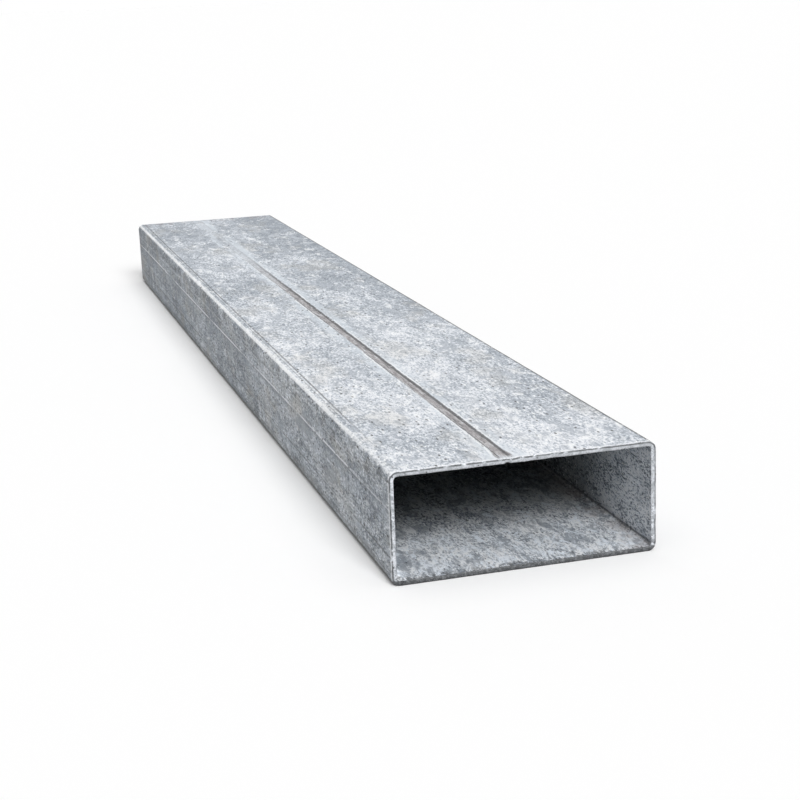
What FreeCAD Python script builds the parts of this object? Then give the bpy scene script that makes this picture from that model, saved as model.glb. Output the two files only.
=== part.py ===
import FreeCAD, Part
import math
import os

import Sketcher

# Rectangular hollow steel section, galvanised, cold formed and welded along its length.
#
# The tube is one piece of strip, roll formed to a rectangle and joined by a single weld along the
# upper wide side. It is sawn square at both ends and lies on its lower wide side.
#
# Frame, in millimetres: X across the wide side, Y along the length, Z up. The origin is in the middle
# of the lower face, so that the tube rests on Z = 0 and runs from -length / 2 to +length / 2.

SIZES = (
    # alias, value in mm, what it is
    ("tube_length", 800.0, "overall length between the sawn ends"),
    ("tube_width", 120.0, "outside width of the section"),
    ("tube_height", 50.0, "outside height of the section"),
    ("wall", 2.5, "wall thickness"),
    ("corner_radius", 4.0, "outside radius of the four formed corners"),
    ("seam_centre", -8.0, "place of the weld across the upper side, from the middle"),
    ("scarf_width", 5.0, "width of the flat that trimming the outer weld bead leaves"),
    ("scarf_depth", 0.15, "depth of that flat under the upper face"),
    ("bead_width", 2.4, "width of the weld bead left inside the bore"),
    ("bead_height", 0.6, "height of that bead under the upper wall"),
    ("edge_break", 0.3, "chamfer on the outside edge of each sawn end"),
)

PARTS_FOLDER = "parts"
TUBE_NODE = "rectangular_tube"
TINY = 1e-6


def make_sheet(doc):
    """The spreadsheet of driving sizes: one row for each, its value in a cell with an alias."""
    sheet = doc.addObject("Spreadsheet::Sheet", "Sizes")
    for row, (alias, value, meaning) in enumerate(SIZES, start=1):
        sheet.set(f"A{row}", alias)
        sheet.set(f"B{row}", str(value))
        sheet.set(f"C{row}", meaning)
        sheet.setAlias(f"B{row}", alias)
    doc.recompute()
    return sheet


def origin_plane(body, role):
    """The body's own origin plane of that role, such as XZ_Plane."""
    return next(f for f in body.Origin.OriginFeatures if f.Role == role)


def new_sketch(body, name):
    """A sketch on the body's XZ plane: its own x is the frame's X, and its y is the frame's Z."""
    sketch = body.newObject("Sketcher::SketchObject", name)
    sketch.AttachmentSupport = (origin_plane(body, "XZ_Plane"), [""])
    sketch.MapMode = "FlatFace"
    return sketch


def bind(sketch, name, constraint, expression):
    """Adds a dimension to the sketch, names it, and ties it to the sheet."""
    index = sketch.addConstraint(constraint)
    sketch.renameConstraint(index, name)
    sketch.setExpression(f"Constraints.{name}", expression)


def add_rounded_rectangle(sketch, prefix, size, radius, inset):
    """Draws a rectangle with four equal round corners, centred on x = 0.

    size is the first guess of (width, height), radius that of the corners, and inset how far all of
    it lies inside the section's outline. The expressions then hold them to the sheet's sizes.
    """
    half = size[0] / 2
    low = inset
    high = inset + size[1]
    corners = (
        (half - radius, low + radius, 270),
        (half - radius, high - radius, 0),
        (-half + radius, high - radius, 90),
        (-half + radius, low + radius, 180),
    )
    arcs = []
    for x, y, start in corners:
        circle = Part.Circle(FreeCAD.Vector(x, y, 0), FreeCAD.Vector(0, 0, 1), radius)
        arc = Part.ArcOfCircle(circle, math.radians(start), math.radians(start + 90))
        arcs.append(sketch.addGeometry(arc, False))
    sides = []
    for here, there in zip(arcs, arcs[1:] + arcs[:1]):
        start = sketch.Geometry[here].EndPoint
        end = sketch.Geometry[there].StartPoint
        side = sketch.addGeometry(Part.LineSegment(start, end), False)
        sketch.addConstraint(Sketcher.Constraint("Tangent", here, 2, side, 1))
        sketch.addConstraint(Sketcher.Constraint("Tangent", side, 2, there, 1))
        sides.append(side)
    for arc in arcs[1:]:
        sketch.addConstraint(Sketcher.Constraint("Equal", arcs[0], arc))
    right, top, left, bottom = sides
    sketch.addConstraint(Sketcher.Constraint("Vertical", right))
    sketch.addConstraint(Sketcher.Constraint("Vertical", left))
    sketch.addConstraint(Sketcher.Constraint("Horizontal", top))
    sketch.addConstraint(Sketcher.Constraint("Horizontal", bottom))

    margin = "0" if inset == 0 else "Sizes.wall"
    bind(
        sketch,
        f"{prefix}_radius",
        Sketcher.Constraint("Radius", arcs[0], radius),
        f"Sizes.corner_radius - {margin}",
    )
    bind(
        sketch,
        f"{prefix}_right",
        Sketcher.Constraint("DistanceX", -1, 1, right, 1, half),
        f"Sizes.tube_width / 2 - {margin}",
    )
    bind(
        sketch,
        f"{prefix}_left",
        Sketcher.Constraint("DistanceX", left, 1, -1, 1, half),
        f"Sizes.tube_width / 2 - {margin}",
    )
    bind(
        sketch,
        f"{prefix}_height",
        Sketcher.Constraint("DistanceY", bottom, 1, top, 1, size[1]),
        f"Sizes.tube_height - 2 * {margin}",
    )
    if inset == 0:
        sketch.addConstraint(Sketcher.Constraint("PointOnObject", bottom, 1, -1))
    else:
        bind(
            sketch,
            f"{prefix}_floor",
            Sketcher.Constraint("DistanceY", -1, 1, bottom, 1, inset),
            margin,
        )


def add_section(body, sheet):
    """The hollow section's two outlines in one sketch, padded half of the length each way."""
    sketch = new_sketch(body, "SectionSketch")
    width = sheet.tube_width
    height = sheet.tube_height
    wall = sheet.wall
    outer_radius = sheet.corner_radius
    add_rounded_rectangle(sketch, "outer", (width, height), outer_radius, 0)
    bore_size = (width - 2 * wall, height - 2 * wall)
    add_rounded_rectangle(sketch, "bore", bore_size, outer_radius - wall, wall)
    pad = body.newObject("PartDesign::Pad", "SectionPad")
    pad.Profile = sketch
    pad.setExpression("Length", "Sizes.tube_length")
    pad.SideType = "Symmetric"
    return pad


def add_edge_breaks(doc, body, pad, sheet):
    """Chamfers the outside edge of both sawn ends, found as the end edges that bound the outer skin."""
    doc.recompute()
    half_length = sheet.tube_length / 2
    wall = sheet.wall
    inner_box = FreeCAD.BoundBox(
        -sheet.tube_width / 2 + wall / 2,
        -half_length - wall,
        wall / 2,
        sheet.tube_width / 2 - wall / 2,
        half_length + wall,
        sheet.tube_height - wall / 2,
    )
    names = []
    for number, edge in enumerate(pad.Shape.Edges, start=1):
        box = edge.BoundBox
        at_an_end = box.YLength < TINY and abs(abs(box.YMin) - half_length) < TINY
        if at_an_end and not inner_box.isInside(edge.CenterOfMass):
            names.append(f"Edge{number}")
    chamfer = body.newObject("PartDesign::Chamfer", "EndEdgeBreaks")
    chamfer.Base = (pad, names)
    chamfer.setExpression("Size", "Sizes.edge_break")
    return chamfer


def add_box_outline(sketch, left, right, low, high):
    """Four lines round a rectangle, joined at its corners. Returns bottom, right, top and left."""
    points = [
        FreeCAD.Vector(left, low, 0),
        FreeCAD.Vector(right, low, 0),
        FreeCAD.Vector(right, high, 0),
        FreeCAD.Vector(left, high, 0),
    ]
    lines = []
    for start, end in zip(points, points[1:] + points[:1]):
        lines.append(sketch.addGeometry(Part.LineSegment(start, end), False))
    for here, there in zip(lines, lines[1:] + lines[:1]):
        sketch.addConstraint(Sketcher.Constraint("Coincident", here, 2, there, 1))
    for line in lines[0::2]:
        sketch.addConstraint(Sketcher.Constraint("Horizontal", line))
    for line in lines[1::2]:
        sketch.addConstraint(Sketcher.Constraint("Vertical", line))
    return lines


def add_scarf(body, sheet):
    """The shallow flat along the upper face where the outer weld bead was trimmed off."""
    sketch = new_sketch(body, "ScarfSketch")
    centre = sheet.seam_centre
    half = sheet.scarf_width / 2
    top = sheet.tube_height
    floor = top - sheet.scarf_depth
    above = top + sheet.scarf_depth
    base, _, lid, _ = add_box_outline(sketch, centre - half, centre + half, floor, above)
    bind(
        sketch,
        "scarf_left",
        Sketcher.Constraint("DistanceX", base, 1, -1, 1, half - centre),
        "Sizes.scarf_width / 2 - Sizes.seam_centre",
    )
    bind(
        sketch,
        "scarf_width",
        Sketcher.Constraint("DistanceX", base, 1, base, 2, 2 * half),
        "Sizes.scarf_width",
    )
    bind(
        sketch,
        "scarf_floor",
        Sketcher.Constraint("DistanceY", -1, 1, base, 1, floor),
        "Sizes.tube_height - Sizes.scarf_depth",
    )
    bind(
        sketch,
        "scarf_lid",
        Sketcher.Constraint("DistanceY", -1, 1, lid, 1, above),
        "Sizes.tube_height + Sizes.scarf_depth",
    )
    pocket = body.newObject("PartDesign::Pocket", "ScarfPocket")
    pocket.Profile = sketch
    pocket.setExpression("Length", "2 * Sizes.tube_length")
    pocket.SideType = "Symmetric"
    return pocket


def add_inner_bead(body, sheet):
    """The weld bead inside the bore: a low round ridge under the upper wall, right under the scarf.

    Its section is a circular segment as wide as the bead and as deep as it hangs, closed by a box
    that reaches up into the wall, so that the ridge and the wall are one solid.
    """
    sketch = new_sketch(body, "BeadSketch")
    centre = sheet.seam_centre
    half = sheet.bead_width / 2
    ceiling = sheet.tube_height - sheet.wall
    root = ceiling + sheet.wall / 4
    drop = ceiling - sheet.bead_height
    left_top = FreeCAD.Vector(centre - half, root, 0)
    left_low = FreeCAD.Vector(centre - half, ceiling, 0)
    lowest = FreeCAD.Vector(centre, drop, 0)
    right_low = FreeCAD.Vector(centre + half, ceiling, 0)
    right_top = FreeCAD.Vector(centre + half, root, 0)
    left = sketch.addGeometry(Part.LineSegment(left_top, left_low), False)
    crown = sketch.addGeometry(Part.Arc(left_low, lowest, right_low), False)
    right = sketch.addGeometry(Part.LineSegment(right_low, right_top), False)
    lid = sketch.addGeometry(Part.LineSegment(right_top, left_top), False)
    crown_starts_left = sketch.Geometry[crown].StartPoint.isEqual(left_low, TINY)
    crown_left, crown_right = (1, 2) if crown_starts_left else (2, 1)
    sketch.addConstraint(Sketcher.Constraint("Coincident", left, 2, crown, crown_left))
    sketch.addConstraint(Sketcher.Constraint("Coincident", crown, crown_right, right, 1))
    sketch.addConstraint(Sketcher.Constraint("Coincident", right, 2, lid, 1))
    sketch.addConstraint(Sketcher.Constraint("Coincident", lid, 2, left, 1))
    sketch.addConstraint(Sketcher.Constraint("Vertical", left))
    sketch.addConstraint(Sketcher.Constraint("Vertical", right))
    sketch.addConstraint(Sketcher.Constraint("Horizontal", lid))
    bind(
        sketch,
        "bead_left",
        Sketcher.Constraint("DistanceX", left, 1, -1, 1, half - centre),
        "Sizes.bead_width / 2 - Sizes.seam_centre",
    )
    bind(
        sketch,
        "bead_width",
        Sketcher.Constraint("DistanceX", left, 1, right, 2, 2 * half),
        "Sizes.bead_width",
    )
    bind(
        sketch,
        "bead_root",
        Sketcher.Constraint("DistanceY", -1, 1, left, 1, root),
        "Sizes.tube_height - 3 / 4 * Sizes.wall",
    )
    bind(
        sketch,
        "bead_ceiling_left",
        Sketcher.Constraint("DistanceY", -1, 1, left, 2, ceiling),
        "Sizes.tube_height - Sizes.wall",
    )
    bind(
        sketch,
        "bead_ceiling_right",
        Sketcher.Constraint("DistanceY", -1, 1, right, 1, ceiling),
        "Sizes.tube_height - Sizes.wall",
    )
    crown_radius = (half**2 + sheet.bead_height**2) / (2 * sheet.bead_height)
    bind(
        sketch,
        "bead_radius",
        Sketcher.Constraint("Radius", crown, crown_radius),
        "(Sizes.bead_width * Sizes.bead_width / 4 + Sizes.bead_height * Sizes.bead_height)"
        " / (2 * Sizes.bead_height)",
    )
    pad = body.newObject("PartDesign::Pad", "BeadPad")
    pad.Profile = sketch
    pad.setExpression("Length", "Sizes.tube_length")
    pad.SideType = "Symmetric"
    return pad


def make_tube(doc, sheet):
    """The whole tube as one body: section, broken end edges, trimmed outer weld and inner bead."""
    body = doc.addObject("PartDesign::Body", "Tube")
    body.Label = TUBE_NODE
    pad = add_section(body, sheet)
    add_edge_breaks(doc, body, pad, sheet)
    add_scarf(body, sheet)
    body.Tip = add_inner_bead(body, sheet)
    doc.recompute()
    return body


def stop_if_failed(doc, bodies):
    """Raises an error that names every object or shape that did not compute."""
    failed = [o.Name for o in doc.Objects if "Invalid" in o.State or "Error" in o.State]
    for sketch in (o for o in doc.Objects if o.isDerivedFrom("Sketcher::SketchObject")):
        if not sketch.FullyConstrained:
            failed.append(f"{sketch.Name} is not fully constrained")
    for body in bodies:
        shape = body.Shape
        if shape.isNull() or not shape.isValid() or len(shape.Solids) != 1:
            failed.append(f"{body.Label} is not one valid solid")
    if failed:
        raise RuntimeError("; ".join(failed))


def main():
    doc = FreeCAD.newDocument("RectangularTube")
    sheet = make_sheet(doc)
    bodies = [make_tube(doc, sheet)]
    stop_if_failed(doc, bodies)
    os.makedirs(PARTS_FOLDER, exist_ok=True)
    for body in bodies:
        shape = body.Shape
        shape.exportStep(os.path.join(PARTS_FOLDER, f"{body.Label}.step"))
        box = shape.BoundBox
        print(
            f"{body.Label}: {shape.Volume:.1f} mm3, "
            f"{box.XLength:.3f} x {box.YLength:.3f} x {box.ZLength:.3f} mm"
        )


main()
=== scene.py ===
# %% [markdown]
# # A sawn length of galvanised rectangular steel tube
#
# The real tube is one strip of steel. Rolls fold it to a box, a welder joins its two edges along
# the upper side, a tool planes the bead off, and the tube then runs through molten zinc. What
# makes it look real is therefore all on the skin: clouds and runs in the zinc, the grey-brown
# weld band, roller lines, pits, and sawn rims with a ragged edge.
#
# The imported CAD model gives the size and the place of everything. It is loaded first, and the
# skin made below lies inside its box.

# %% Load the frame
import math

import bpy
import numpy as np
from mathutils import Matrix, Vector


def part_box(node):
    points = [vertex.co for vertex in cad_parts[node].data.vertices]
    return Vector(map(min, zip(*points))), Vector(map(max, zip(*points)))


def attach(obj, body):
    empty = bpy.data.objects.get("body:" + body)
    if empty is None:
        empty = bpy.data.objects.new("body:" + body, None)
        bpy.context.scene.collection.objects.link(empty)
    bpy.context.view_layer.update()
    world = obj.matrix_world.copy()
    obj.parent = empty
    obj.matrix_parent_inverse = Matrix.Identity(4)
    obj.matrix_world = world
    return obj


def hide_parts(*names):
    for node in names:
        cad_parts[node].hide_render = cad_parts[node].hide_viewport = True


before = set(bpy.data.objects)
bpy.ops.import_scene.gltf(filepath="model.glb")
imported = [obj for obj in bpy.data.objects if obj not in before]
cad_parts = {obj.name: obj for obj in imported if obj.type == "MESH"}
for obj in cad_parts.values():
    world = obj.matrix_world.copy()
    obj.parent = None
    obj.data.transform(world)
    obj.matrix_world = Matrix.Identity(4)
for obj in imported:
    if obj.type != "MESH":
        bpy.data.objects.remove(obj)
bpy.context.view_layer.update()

MM = 0.001
TUBE_NODE = "rectangular_tube"
low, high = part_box(TUBE_NODE)
WIDTH, LENGTH, HEIGHT = (high[i] - low[i] for i in range(3))
print(f"tube: {WIDTH / MM:.1f} x {LENGTH / MM:.1f} x {HEIGHT / MM:.1f} mm")

# %% [markdown]
# ## The view
#
# The near end faces the camera, a little from the left and from above, so that the weld, the
# left side and the inside of the bore all show. The camera's place is given from the middle of
# the near end's lower edge, and its direction by three angles, as on a tripod head.

# %% Camera
CAMERA_FROM_NEAR_END = Vector((-0.2241, -0.6062, 0.2418))
HEADING = math.radians(15.71)
TILT = math.radians(-14.40)
ROLL = math.radians(-2.23)
FOCAL_LENGTH_MM = 72.16
SENSOR_MM = 36.0


def camera_matrix(place, heading, tilt, roll):
    """World matrix of a camera that looks along +Y turned right by heading and up by tilt.

    Forward comes from the two angles, right is level, up is their cross product, and the roll
    then turns right and up about forward.
    """
    forward = Vector(
        (
            math.sin(heading) * math.cos(tilt),
            math.cos(heading) * math.cos(tilt),
            math.sin(tilt),
        )
    )
    level = Vector((math.cos(heading), -math.sin(heading), 0.0))
    upward = level.cross(forward)
    right = level * math.cos(roll) + upward * math.sin(roll)
    up = upward * math.cos(roll) - level * math.sin(roll)
    matrix = Matrix((right, up, -forward)).transposed().to_4x4()
    matrix.translation = place
    return matrix


camera_data = bpy.data.cameras.new("camera")
camera_data.sensor_width = SENSOR_MM
camera_data.lens = FOCAL_LENGTH_MM
camera_data.clip_end = 200.0
camera = bpy.data.objects.new("camera", camera_data)
near_end = Vector(((low.x + high.x) / 2, low.y, low.z))
camera.matrix_world = camera_matrix(near_end + CAMERA_FROM_NEAR_END, HEADING, TILT, ROLL)
bpy.context.scene.collection.objects.link(camera)
bpy.context.scene.camera = camera
print("camera", [round(value, 3) for value in camera.location])

# %% [markdown]
# ## The path round the section
#
# The section is a rectangle with round corners. Every point on its outline has a normal, and the
# bore's outline is the same one moved in along those normals by the wall. So one set of columns
# serves the skin, the rims and the bore, and the whole tube becomes a single closed grid.
#
# Equal spacing would waste faces on flat steel and starve the weld, so the columns crowd
# together where there is something to show.

# %% Section columns
WALL = 2.5
CORNER_RADIUS = 4.0
SEAM_X = -8.0
SEAM_WIDTH = 5.0
ROLL_LINE_X = -54.2
SIDE_LINES_Z = (33.0, 12.3)
HALF_WIDTH = WIDTH / MM / 2
TOP_Z = HEIGHT / MM
TOP_COLUMNS, RIGHT_COLUMNS, BOTTOM_COLUMNS, LEFT_COLUMNS = 84, 21, 36, 25
CORNER_COLUMNS = 8


def graded(start, stop, count, peaks=()):
    """count places from start up to, but without, stop, closer together near each peak.

    A density of 1 plus a bell curve for each peak (centre, reach, strength) is summed along the
    run, and equal shares of that sum give the places.
    """
    fine = np.linspace(start, stop, 4001)
    density = np.ones_like(fine)
    for centre, reach, strength in peaks:
        density += strength * np.exp(-(((fine - centre) / reach) ** 2))
    total = np.concatenate(([0.0], np.cumsum((density[1:] + density[:-1]) / 2)))
    return np.interp(np.linspace(0.0, total[-1], count + 1)[:-1], total, fine)


def section_columns():
    """Points (x, z) and outward normals round the outer outline, in mm, starting at the top left.

    Straight sides take graded places between the corner centres. Each corner is an arc about its
    centre, with its angle falling by a quarter turn.
    """
    flat_x = HALF_WIDTH - CORNER_RADIUS
    low_z, high_z = CORNER_RADIUS, TOP_Z - CORNER_RADIUS
    seam_peaks = ((SEAM_X, 3.6, 5.5), (ROLL_LINE_X, 1.2, 3.0))
    line_peaks = tuple((z, 1.2, 1.5) for z in SIDE_LINES_Z)
    mirrored = tuple((low_z + high_z - z, reach, strength) for z, reach, strength in line_peaks)
    sides = (
        (graded(-flat_x, flat_x, TOP_COLUMNS, seam_peaks), 90),
        (graded(low_z, high_z, RIGHT_COLUMNS, mirrored), 0),
        (graded(-flat_x, flat_x, BOTTOM_COLUMNS), 270),
        (graded(low_z, high_z, LEFT_COLUMNS, line_peaks), 180),
    )
    corners = (
        (flat_x, high_z, 90),
        (flat_x, low_z, 0),
        (-flat_x, low_z, 270),
        (-flat_x, high_z, 180),
    )
    level_of_side = {90: TOP_Z, 0: HALF_WIDTH, 270: 0.0, 180: -HALF_WIDTH}
    points, normals = [], []
    for (places, facing), (corner_x, corner_z, start) in zip(sides, corners):
        turn = math.radians(facing)
        normal = np.array((round(math.cos(turn)), round(math.sin(turn))))
        line = np.empty((len(places), 2))
        along = 0 if facing in (90, 270) else 1
        run = places if facing in (90, 180) else places[0] + (places[-1] - places)
        line[:, along] = run
        line[:, 1 - along] = level_of_side[facing]
        points.append(line)
        normals.append(np.tile(normal, (len(places), 1)))
        angle = np.radians(start - 90.0 * np.arange(CORNER_COLUMNS) / CORNER_COLUMNS)
        around = np.stack((np.cos(angle), np.sin(angle)), axis=1)
        points.append(np.array((corner_x, corner_z)) + CORNER_RADIUS * around)
        normals.append(around)
    return np.concatenate(points), np.concatenate(normals)


outline, outline_normals = section_columns()
steps = np.linalg.norm(np.roll(outline, -1, axis=0) - outline, axis=1)
arc_length = np.concatenate(([0.0], np.cumsum(steps)[:-1]))
PERIMETER = float(steps.sum())
print(f"section: {len(outline)} columns, {PERIMETER:.1f} mm round")
print(f"columns {steps.min():.2f} to {steps.max():.2f} mm apart")

# %% [markdown]
# ## Uneven steel
#
# Rolled and dipped steel is never flat. Its faces sag and rise by about a tenth of a millimetre,
# the zinc sets in low runs, and the saw leaves a ragged rim. All of that is made from one
# helper: smooth random hills of a chosen size, which close on themselves round the section.


# %% Smooth random hills
def hills(around, along, size_around, size_along, seed):
    """Random heights from -1 to 1, smooth, with hills of the given sizes in mm.

    A lattice of seeded random numbers is read at the four corners of each cell and blended with
    the smooth step 3t^2 - 2t^3. The lattice repeats after the perimeter.
    """
    columns = max(3, round(PERIMETER / size_around))
    rows = int(LENGTH / MM / size_along) + 4
    lattice = np.random.default_rng(seed).uniform(-1.0, 1.0, (columns, rows))
    u = around / PERIMETER * columns
    v = (along + LENGTH / MM / 2) / size_along + 1.0
    cell_u, cell_v = np.floor(u).astype(int), np.floor(v).astype(int)
    blend_u, blend_v = u - cell_u, v - cell_v
    blend_u = blend_u * blend_u * (3.0 - 2.0 * blend_u)
    blend_v = blend_v * blend_v * (3.0 - 2.0 * blend_v)
    this_u, next_u = cell_u % columns, (cell_u + 1) % columns
    this_v, next_v = np.clip(cell_v, 0, rows - 1), np.clip(cell_v + 1, 0, rows - 1)
    near = lattice[this_u, this_v] * (1 - blend_u) + lattice[next_u, this_v] * blend_u
    far = lattice[this_u, next_v] * (1 - blend_u) + lattice[next_u, next_v] * blend_u
    return near * (1 - blend_v) + far * blend_v


def ease(value, start, stop):
    """0 before start and 1 after stop, with the smooth step between. Works on whole arrays."""
    share = np.clip((value - start) / (stop - start), 0.0, 1.0)
    return share * share * (3.0 - 2.0 * share)


def groove(value, centre, reach):
    """A bell curve, 1 at centre and near 0 at two reaches from it."""
    return np.exp(-(((value - centre) / reach) ** 2))


# %% [markdown]
# ## The skin's relief
#
# How far each point lies under the ideal face, in millimetres. The planed weld band is a shallow
# trough with tool lines in it. It opens out at the sawn end, where the tool was let go, and its
# depth follows the CAD model's. The roller line near the left corner and the two lines along
# each side are fine grooves. The lower face keeps its level, because the tube rests on it.

# %% Skin and bore relief
SEAM_DEPTH = 0.15
SEAM_FLARE = 1.3
SKIN_MARGIN = 0.12
LINE_DEPTH = 0.07
DEEPEST = 0.6
NEAR_Y = low.y / MM
FAR_Y = high.y / MM


def seam_half_width(along):
    """Half of the weld band's width at each place along the tube: steady, then flared at the end."""
    flare = SEAM_FLARE * ease(along, NEAR_Y + 16.0, NEAR_Y + 2.0)
    return SEAM_WIDTH / 2 + flare


def skin_relief(around, x, z, along):
    """Depth under the ideal outer face: broad sag, zinc runs, the weld trough and roller lines."""
    depth = SKIN_MARGIN + 0.055 * hills(around, along, 48.0, 90.0, 11)
    depth += 0.035 * hills(around, along, 13.0, 26.0, 12)
    depth += 0.022 * hills(around, along, 9.0, 4.0, 13)
    on_top = ease(z, TOP_Z - 1.0, TOP_Z - 0.2)
    from_seam = x - SEAM_X + 0.25 * hills(around * 0.0, along, 40.0, 60.0, 14)
    half = seam_half_width(along)
    trough = ease(np.abs(from_seam), half + 0.35, half - 0.25)
    tool_lines = 0.03 * np.cos(from_seam * 4.6) + 0.02 * hills(around, along, 1.2, 30.0, 15)
    held = 1.0 - 0.6 * ease(along, FAR_Y - 240.0, FAR_Y - 20.0)
    depth += on_top * trough * held * (SEAM_DEPTH + tool_lines)
    shoulder = groove(np.abs(from_seam), half + 1.1, 0.8)
    depth -= on_top * 0.05 * shoulder
    depth += on_top * 0.11 * groove(x, ROLL_LINE_X, 0.55)
    on_side = ease(np.abs(x), HALF_WIDTH - 0.4, HALF_WIDTH - 0.05)
    for line_z in SIDE_LINES_Z:
        depth += on_side * LINE_DEPTH * groove(z, line_z, 0.7)
    lower_face = ease(z, 1.0, 0.1)
    depth = depth * (1 - lower_face) + 0.01 * lower_face
    return np.clip(depth, 0.0, DEEPEST)


BEAD_HALF_WIDTH = 1.2
BEAD_HEIGHT = 0.52
LIP_HEIGHT = 0.16
DRAINED_HEIGHT = 0.30


def bore_relief(around, x, z, along):
    """How far the bore's face stands out into the hollow: lumps, the inner weld bead, and the lip.

    The lip is zinc that gathered at each mouth, most of it on the floor.
    """
    lumps = 0.05 * hills(around, along, 7.0, 9.0, 21) + 0.04 * hills(around, along, 3.5, 5.0, 22)
    on_ceiling = ease(z, TOP_Z - 1.0, TOP_Z - 0.2)
    bead = np.sqrt(np.clip(1.0 - ((x - SEAM_X) / BEAD_HALF_WIDTH) ** 2, 0.0, 1.0))
    ripple = 1.0 + 0.18 * hills(around * 0.0, along, 40.0, 3.2, 23)
    from_end = np.minimum(along - NEAR_Y, FAR_Y - along)
    uneven = 0.08 * hills(around, along * 0.0, 4.0, 50.0, 24)
    lip = (LIP_HEIGHT + uneven) * ease(from_end, 14.0, 2.0)
    on_floor = ease(z, 3.0, 0.5)
    drops = 0.22 * hills(around, along, 2.6, 3.0, 25)
    drained = (DRAINED_HEIGHT + drops) * ease(from_end, 7.0, 1.0)
    return lumps + on_ceiling * BEAD_HEIGHT * bead * ripple + lip + on_floor * drained


# %% [markdown]
# ## The sawn rims
#
# Going round the edge of the wall, from skin to bore, the rim starts with a ragged bevel, runs
# flat with saw marks, and ends in a small burr that leans into the bore. Dipping after the cut
# leaves zinc beads on it, mostly at the bottom, where the tube drained.

# %% Rim relief
RIM_ROWS = np.array((0.0, 0.05, 0.12, 0.22, 0.36, 0.52, 0.68, 0.82, 0.92, 1.0))
RIM_MARGIN = 0.30
RIM_DEEPEST = 0.6


def rim_relief(around, share, z, seed):
    """How far the rim lies inside the sawn plane. share goes from 0 at the skin to 1 at the bore."""
    level = np.full_like(around, 0.0)
    ragged = 0.5 + 0.5 * hills(around, level, 2.2, 50.0, seed)
    bevel = (0.16 + 0.30 * ragged) * ease(share, 0.26, 0.0)
    inner = (0.10 + 0.22 * (1 - ragged)) * ease(share, 0.80, 1.0)
    marks = 0.05 * hills(around, share * 40.0, 1.6, 12.0, seed + 1)
    drained = ease(z, 9.0, 1.5)
    beads = drained * 0.16 * np.clip(hills(around, share * 40.0, 3.0, 30.0, seed + 2), 0.0, 1.0)
    return np.clip(RIM_MARGIN + marks - beads, 0.03, RIM_DEEPEST) + bevel + inner


# %% [markdown]
# ## One closed grid
#
# The rows run along the skin from the near end to the far one, over the far rim, back along the
# bore, and over the near rim to where they began. Both directions of the grid close on
# themselves, so the mesh has no open edge. The rims lean the skin's last rows inwards a little,
# which gives the sawn edge its soft, nibbled outline.

# %% Build the tube's mesh
SKIN_ROWS = 268
BORE_ROWS = 118
SKIN_ZONE, FAR_RIM_ZONE, BORE_ZONE, NEAR_RIM_ZONE = range(4)
SKIN_SLOT, RIM_SLOT, BORE_SLOT = range(3)


def rows_round_the_wall():
    """For every row of the grid: its place along the tube, its share of the wall, and its zone.

    The zones follow each other as skin, far rim, bore and near rim. Rows crowd together near
    both ends.
    """
    ends = ((NEAR_Y, 5.0, 9.0), (NEAR_Y, 40.0, 1.2), (FAR_Y, 4.0, 7.0))
    skin = graded(NEAR_Y + RIM_MARGIN, FAR_Y - RIM_MARGIN, SKIN_ROWS, ends)[1:]
    bore = graded(NEAR_Y + RIM_MARGIN, FAR_Y - RIM_MARGIN, BORE_ROWS, ends)[:0:-1]
    places = (skin, np.full(len(RIM_ROWS), FAR_Y), bore, np.full(len(RIM_ROWS), NEAR_Y))
    shares = (np.zeros_like(skin), RIM_ROWS, np.ones_like(bore), RIM_ROWS[::-1])
    zones = [np.full(len(run), zone) for zone, run in enumerate(places)]
    return np.concatenate(places), np.concatenate(shares), np.concatenate(zones)


def tube_points():
    """The grid's points in mm, as (rows, columns, 3), with the zone of each row.

    Each point is the outline's point moved in along its normal by a depth: the relief on the
    skin, the wall less the lumps in the bore, and a share of the way between them on a rim.
    """
    place, share, zone = rows_round_the_wall()
    along = np.repeat(place[:, None], len(outline), axis=1)
    portion = np.repeat(share[:, None], len(outline), axis=1)
    around = np.repeat(arc_length[None, :], len(place), axis=0)
    x = np.repeat(outline[None, :, 0], len(place), axis=0)
    z = np.repeat(outline[None, :, 1], len(place), axis=0)
    outer_depth = skin_relief(around, x, z, along)
    inner_depth = WALL - bore_relief(around, x, z, along)
    nibble = 0.05 + 0.06 * hills(around, along * 0.0, 3.0, 50.0, 31)
    from_end = np.minimum(along - NEAR_Y, FAR_Y - along)
    outer_depth += nibble * ease(from_end, 1.4, 0.0) * ease(z, 0.4, 2.0)
    depth = outer_depth * (1 - portion) + inner_depth * portion
    near_rim = (zone == NEAR_RIM_ZONE)[:, None]
    far_rim = (zone == FAR_RIM_ZONE)[:, None]
    inward = rim_relief(around, portion, z, 41)
    along = np.where(near_rim, NEAR_Y + inward, along)
    along = np.where(far_rim, FAR_Y - rim_relief(around, portion, z, 51), along)
    points = np.stack(
        (
            x - outline_normals[None, :, 0] * depth,
            along,
            z - outline_normals[None, :, 1] * depth,
        ),
        axis=2,
    )
    return points, zone, portion


def closed_grid_faces(rows, columns):
    """Quads of a grid that closes both ways, wound so that they face out of the steel."""
    index = np.arange(rows * columns).reshape(rows, columns)
    over = np.roll(index, -1, axis=1)
    up = np.roll(index, -1, axis=0)
    corner = np.roll(up, -1, axis=1)
    return np.stack((index, up, corner, over), axis=2).reshape(-1, 4)


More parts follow.
